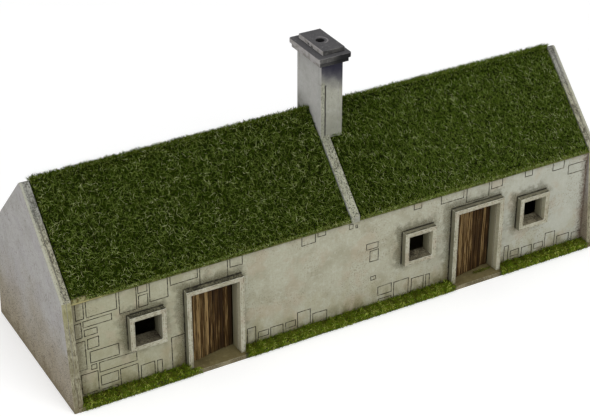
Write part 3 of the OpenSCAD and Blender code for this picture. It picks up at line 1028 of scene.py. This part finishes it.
def build_leaf(node, seed):
    """The planks, battens and turning post of one door, in the place of its packed board."""
    rng = random.Random(seed)
    hinge = [joint for joint in frame["joints"] if joint["name"] == node + "_hinge"][0]
    ajar = -math.radians(hinge["range_deg"][0])
    pivot = Vector(hinge["pos_m"]) / MM
    seat = Matrix.Scale(MM, 4) @ Matrix.Translation(pivot) @ Matrix.Rotation(ajar, 4, "Z")
    board = boards[node]
    shut = [seat.inverted() @ (board.matrix_world @ vert.co) for vert in board.data.vertices]
    length = max(point.x for point in shut)
    post_r = max(point.y for point in shut)
    pin_low, pin_high = min(point.z for point in shut), max(point.z for point in shut)
    bottom, top = [sorted({round(point.z, 2) for point in shut})[i] for i in (1, -2)]
    work = bmesh.new()
    tones = []
    widths = [rng.uniform(1.4, 2.5) for _ in range(PLANKS)]
    x = post_r * 0.4
    scale = (length - x) / sum(widths)
    for width in widths:
        faces = plank_into(work, x + PLANK_GAP / 2, x + width * scale - PLANK_GAP / 2,
                           bottom + rng.uniform(0, 0.4), top - rng.uniform(0, 0.3), -post_r, rng)
        # the free side hangs in the shade and is darker
        tones += [0.8 - 0.45 * x / length + rng.uniform(-0.35, 0.35)] * faces
        x += width * scale
    planks = add_piece(node + "_planks", work)
    set_tone(planks, tones)

    work = bmesh.new()
    for z in BATTEN_FEET:
        box_into(work, (0, PLANK_THICK - post_r, z), (length - 0.2, post_r, z + BATTEN_HIGH))
    bmesh.ops.bevel(work, geom=work.edges[:], offset=0.15, segments=1, affect="EDGES")
    battens = add_piece(node + "_battens", work)
    set_tone(battens, [0.4] * len(battens.data.polygons))

    work = bmesh.new()
    for radius, z_low, z_high in ((post_r, bottom, top), (post_r * 0.6, pin_low, bottom + 0.2),
                                  (post_r * 0.6, top - 0.2, pin_high)):
        made = bmesh.ops.create_cone(work, cap_ends=True, segments=24, radius1=radius,
                                     radius2=radius, depth=z_high - z_low)["verts"]
        for vert in made:
            vert.co.z += (z_low + z_high) / 2
    post = add_piece(node + "_post", work)
    set_tone(post, [0.3] * len(post.data.polygons))
    for piece in (planks, battens, post):
        piece.data.transform(seat)
        piece.data.materials.append(plank_wood)
        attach(piece, hinge["child"])
    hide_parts(node)
    print(node, "stands open by %.1f degrees," % math.degrees(ajar), "leaf %.1f mm long" % length)


build_leaf("left_door", 5)
build_leaf("right_door", 9)

# %% [markdown]
# ## Turf
# The roof is covered with flock: cut fibres that fell criss-cross into wet glue. Blender's hair
# system could grow them, but the exported model would not carry it. Instead each fibre is a tiny
# closed solid with a bow in it, and a lumpy mat below closes the gaps. A dark pile of short
# blades, 1 to 2 mm long, comes first; paler strands of up to 3.4 mm lie loose on top, as in the
# photograph. All fibres of a layer are one mesh, written in one go from arrays.

# %% Colours for fibres and mats
wires, given, result = new_group(
    "blade colour",
    [("Deep", "Color", ink(31, 43, 2)), ("Green", "Color", ink(50, 69, 7)),
     ("Pale", "Color", ink(84, 106, 32)), ("Dry", "Color", ink(104, 114, 38)),
     ("Dryness", "Float", 0.0), ("Lift", "Float", 0.0)],
    [("Color", "Color")],
)
patch = wires.noise(7)
level = wires.tone() + (patch - 0.5) * 0.6 + given["Lift"]
colour = wires.mix(level.step(0.05, 0.6), given["Deep"], given["Green"])
colour = wires.mix(level.step(0.84, 0.98), colour, given["Pale"])
dry_on = wires.noise(1.5).step(0.35, 0.65) * given["Dryness"]
colour = wires.mix(dry_on, colour, given["Dry"])
wires.put(result["Color"], colour)

TURF_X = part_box("turf_front_right")[1].x / MM
TURF_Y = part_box("turf_back_right")[1].y / MM


def edge_dryness(wires, most, least):
    """How dry the turf is: most along the ridge, the eaves and the gables."""
    across, depth, _ = wires.point()
    from_gable = TURF_X - abs(across)
    from_eave = TURF_Y - abs(depth)
    nearest = wires.smaller(wires.smaller(from_gable, from_eave), abs(depth))
    return nearest.step(0.0, 4.0, most, least)


def blade_material(name, dryness, brighter=0.0, **colours):
    """A matt material for one kind of fibre."""
    material, wires = new_material(name)
    # the right-hand half of the roof is a little brighter
    lift = wires.point()[0].step(0, 60, 0.0, brighter)
    if isinstance(dryness, tuple):
        dryness = edge_dryness(wires, *dryness)
    blades = wires.group("blade colour", Dryness=dryness, Lift=lift, **colours)
    wires.put(wires.shader["Base Color"], blades["Color"])
    wires.put(wires.shader["Roughness"], 0.85)
    wires.put(wires.shader["Specular IOR Level"], 0.0)
    return material


turf_blades = blade_material("turf_fibres", (0.4, 0.08), 0.6)
turf_strands = blade_material("turf_strands", (0.4, 0.2), Deep=ink(68, 88, 22),
                              Green=ink(138, 160, 76), Pale=ink(232, 238, 176),
                              Dry=ink(160, 162, 88))
verge_blades = blade_material("verge_fibres", 0.34, Deep=ink(24, 38, 3), Green=ink(96, 122, 26),
                              Pale=ink(180, 194, 92), Dry=ink(124, 106, 46))
moss_blades = blade_material("moss_fibres", 0.4, Deep=ink(56, 60, 20), Green=ink(92, 98, 42),
                             Pale=ink(140, 148, 70), Dry=ink(110, 98, 48))

turf_soil, wires = new_material("turf_mat")
coat = cloudy_coat(wires, (26, 33, 2), (18, 23, 0), (40, 48, 8), 0.0, 0.1)
across, depth, _ = wires.point()
rim = abs(depth).step(TURF_Y - 0.3, TURF_Y - 0.05)
rim_colour = wires.mix(wires.noise(3).step(0.4, 0.6), ink(70, 76, 32), ink(106, 108, 60))
rim_colour = rim_colour.tint(across.fall(-112, -104), 160, 152, 106)
bare = across.fall(-116, -111, 0.75) * depth.fall(-TURF_Y + 1.0, -TURF_Y + 1.8)
bare = bare * wires.noise(1.2).step(0.35, 0.6, 0.5, 1.0)
crumbs = wires.noise(0.9, detail=2).step(0.5, 0.6)
bare_colour = wires.mix(crumbs, ink(160, 156, 112), ink(108, 94, 56))
colour = wires.mix(bare, coat["Color"], bare_colour)
colour = wires.mix(rim, colour, rim_colour)
wires.finish(colour, coat["Height"], roughness=0.95, relief=0.3, shine=0.1)

verge_soil, wires = new_material("verge_mat")
coat = cloudy_coat(wires, (78, 80, 26), (72, 60, 30), (104, 110, 44), 0.0, 0.4)
wires.finish(coat["Color"], coat["Height"], roughness=0.95, relief=0.3, shine=0.1)

# %% Functions that lay fibres and mats
def lay_fibres(name, base, along, bend, length, width, tones, corners=2):
    """One mesh of closed fibres. Each starts at base, runs along a direction and bows out by
    bend in the middle; base, along and bend are rows of points, the rest one number a fibre.
    Two corners in the middle give a blade of four faces, three corners a spindle of six."""
    count = len(base)
    along = along / np.linalg.norm(along, axis=1, keepdims=True)
    side = np.cross(along, bend)
    side /= np.linalg.norm(side, axis=1, keepdims=True)
    over = np.cross(side, along)
    last = corners + 1
    points = np.empty((count, last + 1, 3))
    points[:, 0] = base
    points[:, last] = base + along * length[:, None]
    centre = base + along * (length / 2)[:, None] + bend
    for corner in range(corners):
        turn = corner * 2 * math.pi / corners
        offset = (side * math.cos(turn) + over * math.sin(turn)) * (width / 2)[:, None]
        points[:, 1 + corner] = centre + offset
    if corners == 2:
        shape = [(0, 1, 2), (last, 2, 1), (0, last, 1), (0, 2, last)]
    else:
        shape = [(0, 1 + (i + 1) % 3, 1 + i) for i in range(3)]
        shape += [(last, 1 + i, 1 + (i + 1) % 3) for i in range(3)]
    shape = np.array(shape)
    faces = (shape[None] + np.arange(count)[:, None, None] * (last + 1)).reshape(-1, 3)
    mesh = bpy.data.meshes.new(name)
    mesh.vertices.add(count * (last + 1))
    mesh.vertices.foreach_set("co", (points * MM).reshape(-1))
    mesh.loops.add(faces.size)
    mesh.loops.foreach_set("vertex_index", faces.reshape(-1))
    mesh.polygons.add(len(faces))
    mesh.polygons.foreach_set("loop_start", np.arange(0, faces.size, 3))
    mesh.update(calc_edges=True)
    piece = bpy.data.objects.new(name, mesh)
    bpy.context.scene.collection.objects.link(piece)
    set_tone(piece, np.repeat(tones, len(shape)))
    print(name, "fibres", count, "triangles", len(faces))
    return piece


def finish_turf(piece, material):
    """Colours a mat or a layer of fibres and fixes it to the house."""
    piece.data.materials.append(material)
    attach(piece, "house")


def lumpy_mat(name, corner, step_a, step_b, cells_a, cells_b, up, thick, lump, seed):
    """A closed slab whose top is lumpy: corner, two edge directions, and the way up."""
    work = bmesh.new()
    top, bottom = [], []
    for i in range(cells_a + 1):
        top.append([])
        bottom.append([])
        for j in range(cells_b + 1):
            point = corner + step_a * i + step_b * j
            bump = noise.noise(Vector(point) * 0.45 + Vector((seed, 0, 0))) * lump
            inner = 0 < i < cells_a and 0 < j < cells_b
            top[i].append(work.verts.new((point + up * (bump if inner else -lump * 0.5)) * MM))
            bottom[i].append(work.verts.new((point - up * thick) * MM))
    for face in close_slab(work, top, bottom):
        face.smooth = True
    return add_piece(name, work)


def together(layers):
    """Several layers of fibres as one."""
    return [np.concatenate(parts) for parts in zip(*layers)]


print("functions for fibres and mats ready")

# %% Turf on the four slopes
ROOT2 = math.sqrt(2)
# the two planes of the gable tops meet at this height, and the mat lies a little below them
RIDGE_Z = 82.8
MAT_TOP = 0.5
MAT_THICK = 0.8
MAT_CELL = 1.6
PILE_PER_SQUARE_MM = 3.6
STRANDS_PER_SQUARE_MM = 1.6
FRINGE_PER_MM = 14
RIDGE_PILE_PER_MM = 22
RIDGE_STRANDS_PER_MM = 9
BARE_CORNER_X = -114.5
# shortest and longest, thinnest and thickest fibre in millimetres, least and most lean in degrees
PILE_SIZE = (0.9, 1.9)
PILE_WIDTH = (0.17, 0.27)
PILE_LEAN = (5, 40)
STRAND_SIZE = (1.3, 3.4)
STRAND_WIDTH = (0.085, 0.125)
STRAND_LEAN = (0, 16)
FRINGE_SIZE = (1.2, 2.4)
FRINGE_LEAN = (-30, 10)


def slope_point(x, down, above, sign):
    """A point on a slope: x, distance down from the ridge line, height above the rake plane."""
    return np.stack([x, sign * (down + above) / ROOT2, RIDGE_Z + (above - down) / ROOT2], axis=-1)


def scatter(rng, count, ends, length, sign, above, size, lean, turn):
    """Feet, directions and lengths of fibres that lie on a slope and stay inside its ends."""
    low_x, high_x = ends
    x = rng.uniform(low_x + 0.3, high_x - 0.3, count)
    down = rng.uniform(0.0, length - 0.2, count)
    base = slope_point(x, down, rng.uniform(*above, count), sign)
    size = rng.uniform(*size, count) * (0.55 + 0.45 * np.clip(down / 4, 0, 1))
    lean = np.radians(rng.uniform(*lean, count))
    down_way = np.array([0, sign, -1]) / ROOT2
    up_way = np.array([0, sign, 1]) / ROOT2
    along = (np.cos(turn) * np.cos(lean))[:, None] * np.array([1.0, 0, 0])
    along = along + (np.sin(turn) * np.cos(lean))[:, None] * down_way
    along = along + np.sin(lean)[:, None] * up_way
    end_x = x + along[:, 0] * size
    along[(end_x < low_x - 0.2) | (end_x > high_x + 0.2), 0] *= -1
    # near the eave a fibre points along the edge, so the edge stays straight
    past = down + along @ down_way * size - (length + 0.5)
    along = along - down_way * (np.clip(past, 0, None) / size)[:, None]
    keep = (x > BARE_CORNER_X) | (down < length - 1.8)
    return [base[keep], along[keep], size[keep]]


def ridge_tuft(rng, count, ends, sign, size):
    """Short fibres that stand up along the ridge, half on each slope."""
    base = slope_point(rng.uniform(ends[0] + 0.3, ends[1] - 0.3, count),
                       rng.uniform(-0.1, 0.9, count), rng.uniform(-0.9, -0.3, count), sign)
    along = np.stack([rng.uniform(-0.8, 0.8, count), rng.uniform(-0.3, 0.7, count) * sign,
                      rng.uniform(0.4, 1.0, count)], -1)
    return base, along, rng.uniform(*size, count)


def turf_slope(node, sign, seed, lie):
    """The mat, the pile and the loose strands of one slope, in the place of its packed slab.
    The strands turn up to lie radians away from the fall of the roof."""
    low, high = box_of(node)
    ends = (low.x, high.x)
    wide = high.x - low.x
    down_way = Vector((0, sign, -1)) / ROOT2
    up_way = Vector((0, sign, 1)) / ROOT2
    length = (TURF_Y + 0.2) * ROOT2
    x_cells = int(wide / MAT_CELL)
    d_cells = int(length / MAT_CELL)
    start = Vector((low.x, 0, RIDGE_Z - MAT_TOP * ROOT2))
    mat = lumpy_mat(node + "_mat", start, Vector((wide / x_cells, 0, 0)),
                    down_way * (length / d_cells), x_cells, d_cells, up_way, MAT_THICK, 0.3, seed)
    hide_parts(node)
    finish_turf(mat, turf_soil)

    rng = np.random.default_rng(seed)
    count = int(wide * length * PILE_PER_SQUARE_MM)
    turn = rng.uniform(0, 2 * math.pi, count)
    pile = scatter(rng, count, ends, length, sign, (-0.7, 0.0), PILE_SIZE, PILE_LEAN, turn)
    tuft = ridge_tuft(rng, int(wide * RIDGE_PILE_PER_MM), ends, sign, (0.9, 2.9))
    base, along, size = together([pile, tuft])
    bend = np.outer(rng.uniform(0.1, 0.25, len(base)), up_way)
    finish_turf(lay_fibres(node + "_pile", base, along, bend, size,
                           rng.uniform(*PILE_WIDTH, len(base)), rng.random(len(base))),
                turf_blades)

    count = int(wide * length * STRANDS_PER_SQUARE_MM)
    turn = math.pi / 2 + rng.uniform(-lie, lie, count)
    loose = scatter(rng, count, ends, length, sign, (-0.1, 0.5), STRAND_SIZE, STRAND_LEAN, turn)
    fringe = int(wide * FRINGE_PER_MM)
    turn = math.pi / 2 + rng.uniform(-1.3, 1.3, fringe)
    hanging = scatter(rng, fringe, ends, 1.0, sign, (-0.3, 0.3), FRINGE_SIZE, FRINGE_LEAN, turn)
    hanging[0] = hanging[0] + np.array(down_way) * (length - 1.3)
    tuft = ridge_tuft(rng, int(wide * RIDGE_STRANDS_PER_MM), ends, sign, (1.2, 3.0))
    base, along, size = together([loose, tuft, hanging])
    sideways = np.cross(along, np.array(up_way)) * rng.uniform(-0.3, 0.3, len(base))[:, None]
    bend = sideways * size[:, None] + np.outer(rng.uniform(0.1, 0.3, len(base)), up_way)
    bend[-fringe:] *= 0.4
    finish_turf(lay_fibres(node + "_strands", base, along, bend, size,
                           rng.uniform(*STRAND_WIDTH, len(base)), rng.random(len(base)), corners=3),
                turf_strands)


turf_slope("turf_front_left", -1, 21, math.pi)
turf_slope("turf_front_right", -1, 22, 1.2)
turf_slope("turf_back_left", 1, 23, math.pi)
turf_slope("turf_back_right", 1, 24, 1.2)

# %% Grass along the foot of the walls
WALL_CLEAR = 0.2
BLADES_PER_SQUARE_MM = 11
DROOPING_PER_MM = 28
CREEPING_PER_MM = 14
BLADE_SIZE = (1.2, 2.8)
CREEPING_SIZE = (1.0, 1.8)
BLADE_WIDTH = (0.14, 0.24)
VERGE_CELL = 1.2
VERGE_CELLS_DEEP = 4
VERGE_MAT_BELOW = 0.5
EDGE_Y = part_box("base_plate")[1].y / MM


def on_side(sign, base, along, bend, size):
    """A layer of fibres in front of the house, where sign is -1, or behind it, where it is 1."""
    flip = np.array([1, sign, 1])
    return [base * flip, along * flip, np.tile(bend * flip, (len(base), 1)), size]


def grass(low_x, high_x, near_y, far_y, foot_z, count, size, sign, rng):
    """Upright blades between two distances from the middle of the house."""
    x = rng.uniform(low_x, high_x, count)
    out = rng.uniform(near_y, far_y, count)
    z = foot_z + rng.uniform(-0.2, 0.3, count)
    tall = 0.8 + 0.4 * np.sin(x * 0.31 + foot_z) * np.sin(x * 0.87 + far_y)
    turn = rng.normal(math.pi / 2, 1.2, count)
    lean = np.radians(rng.uniform(-5, 65, count))
    along = np.stack([np.cos(turn) * np.cos(lean), np.sin(turn) * np.cos(lean), np.sin(lean)], -1)
    size = rng.uniform(*size, count) * tall
    along[out + along[:, 1] * size < near_y + WALL_CLEAR, 1] *= -1
    room = EDGE_Y + rng.uniform(-0.2, 0.6, count) - out
    along[:, 1] = np.where(along[:, 1] * size > room, room / size, along[:, 1])
    size = size * np.linalg.norm(along, axis=1)
    return on_side(sign, np.stack([x, out, z], -1), along, (0, 0.15, 0.2), size)


def drooping(low_x, high_x, foot_z, count, sign, rng):
    """Blades that hang over the edge of the base plate."""
    out = EDGE_Y - rng.uniform(0.1, 0.9, count)
    z = rng.uniform(0.4, foot_z, count)
    down = rng.uniform(0.05, 1.0, count)
    size = np.minimum(rng.uniform(1.0, 2.4, count), (z - 0.1) / down)
    base = np.stack([rng.uniform(low_x, high_x, count), out, z], -1)
    reach = (EDGE_Y + rng.uniform(0.1, 1.0, count) - out) / size
    along = np.stack([rng.uniform(-1.0, 1.0, count), reach, -down], -1)
    size = size * np.linalg.norm(along, axis=1)
    return on_side(sign, base, along, (0, 0.25, 0.2), size)


def verge_strip(node, sign, seed, spill_left=0.0):
    """A narrow lumpy mat with short blades, in the place of one packed verge."""
    low, high = box_of(node)
    near_y, far_y = sorted((abs(low.y), abs(high.y)))
    run = high.x - low.x
    cells = int(run / VERGE_CELL)
    mat_z = high.z - VERGE_MAT_BELOW
    mat = lumpy_mat(node + "_mat", Vector((low.x, low.y, mat_z)), Vector((run / cells, 0, 0)),
                    Vector((0, (high.y - low.y) / VERGE_CELLS_DEEP, 0)), cells, VERGE_CELLS_DEEP,
                    Vector((0, 0, 1)), mat_z - low.z, 0.5, seed)
    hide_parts(node)
    finish_turf(mat, verge_soil)
    rng = np.random.default_rng(seed)
    layers = [
        grass(low.x, high.x, near_y, far_y, high.z - 0.7,
              int(run * (far_y - near_y) * BLADES_PER_SQUARE_MM), BLADE_SIZE, sign, rng),
        drooping(low.x, high.x + spill_left, high.z + 0.1, int(run * DROOPING_PER_MM), sign, rng),
    ]
    if spill_left:
        # a few blades creep round in front of the door frame's leg
        layers.append(grass(high.x, high.x + spill_left, WALL_CLEAR - FRAME_FACE_Y, far_y,
                            low.z + 0.2, int(spill_left * CREEPING_PER_MM), CREEPING_SIZE,
                            sign, rng))
    base, along, bend, size = together(layers)
    # lighter and darker clumps, and painted shade beside the wall
    clumps = np.sin(base[:, 0] * 1.9 + seed) * np.sin(base[:, 0] * 0.57 + seed)
    tones = 0.65 * rng.random(len(base)) + 0.16 + 0.3 * clumps
    tones += 0.25 * np.clip((np.abs(base[:, 1]) - near_y) / (far_y - near_y), 0, 1) - 0.1
    finish_turf(lay_fibres(node + "_fibres", base, along, bend, size,
                           rng.uniform(*BLADE_WIDTH, len(base)), tones),
                verge_blades)


verge_strip("verge_front_left", -1, 31, spill_left=4.0)
verge_strip("verge_front_middle", -1, 32)
verge_strip("verge_front_right", -1, 33)
verge_strip("verge_back", 1, 34)

# %% A tuft of moss on the right-hand doorstep
MOSS_TUFTS = 16
MOSS_BLADES = 26
MOSS_LEFT = 62.5
MOSS_RIGHT = 70.5
MOSS_BACK = 34.5
DOORSTEP_Z = 2.1
rng = np.random.default_rng(41)
clumps = []
for _ in range(MOSS_TUFTS):
    x = rng.uniform(MOSS_LEFT, MOSS_RIGHT)
    clumps.append(grass(x, x + rng.uniform(0.6, 1.6), MOSS_BACK, rng.uniform(34.9, 35.7),
                        DOORSTEP_Z, MOSS_BLADES, (0.6, rng.uniform(1.2, 2.4)), -1, rng))
base, along, bend, size = together(clumps)
moss = lay_fibres("doorstep_moss", base, along, bend, size, rng.uniform(*BLADE_WIDTH, len(base)),
                  rng.random(len(base)))
finish_turf(moss, moss_blades)

# %% [markdown]
# ## Stage and light
# The model is shown as for a catalogue: on a plain pale floor in soft light from all round. A
# world of one colour gives the even light, and one large lamp from the front and above makes the
# front wall a little brighter than the gable. The floor is only brighter for the camera, so it
# reads as white paper without throwing more light on the house.

# %% Floor
FLOOR_GLOW = 0.36
floor_paint, wires = new_material("floor_paint")
wires.put(wires.shader["Base Color"], (0.8, 0.8, 0.8, 1))
wires.put(wires.shader["Roughness"], 0.9)
seen = wires.out(wires.node("LightPath"), "Is Camera Ray")
wires.put(wires.shader["Emission Color"], (1, 1, 1, 1))
wires.put(wires.shader["Emission Strength"], seen * FLOOR_GLOW)
work = bmesh.new()
bmesh.ops.create_grid(work, x_segments=1, y_segments=1, size=3.0)
floor = add_piece("floor", work)
floor.location.z = -0.00005
floor.data.materials.append(floor_paint)
print("floor made:", floor.name)

# %% World and lamps
ROOM_LIGHT = 0.62
SEEN_LIGHT = 1.0
world = bpy.data.worlds.new("studio")
bpy.context.scene.world = world
world.use_nodes = True
wires = Wiring(world.node_tree)
background = world.node_tree.nodes["Background"]
rays = wires.node("LightPath")
seen = wires.larger(wires.out(rays, "Is Glossy Ray"), wires.out(rays, "Is Transmission Ray"))
seen = wires.larger(wires.out(rays, "Is Camera Ray"), seen)
wires.put(background.inputs["Color"], (1, 1, 1, 1))
wires.put(background.inputs["Strength"], ROOM_LIGHT + seen * (SEEN_LIGHT - ROOM_LIGHT))


def soft_lamp(name, place, size, power):
    """A square lamp that looks at the middle of the house; the place is in millimetres."""
    lamp = bpy.data.objects.new(name, bpy.data.lights.new(name, "AREA"))
    bpy.context.scene.collection.objects.link(lamp)
    lamp.location = Vector(place) * MM
    lamp.rotation_euler = (Vector((0, 0, 40)) - Vector(place)).to_track_quat("-Z", "Y").to_euler()
    lamp.data.size = size * MM
    lamp.data.energy = power


soft_lamp("key", (150, -900, 700), 700, 5.0)
soft_lamp("fill", (-900, -300, 500), 700, 2.5)
bpy.context.scene.view_settings.view_transform = "Standard"
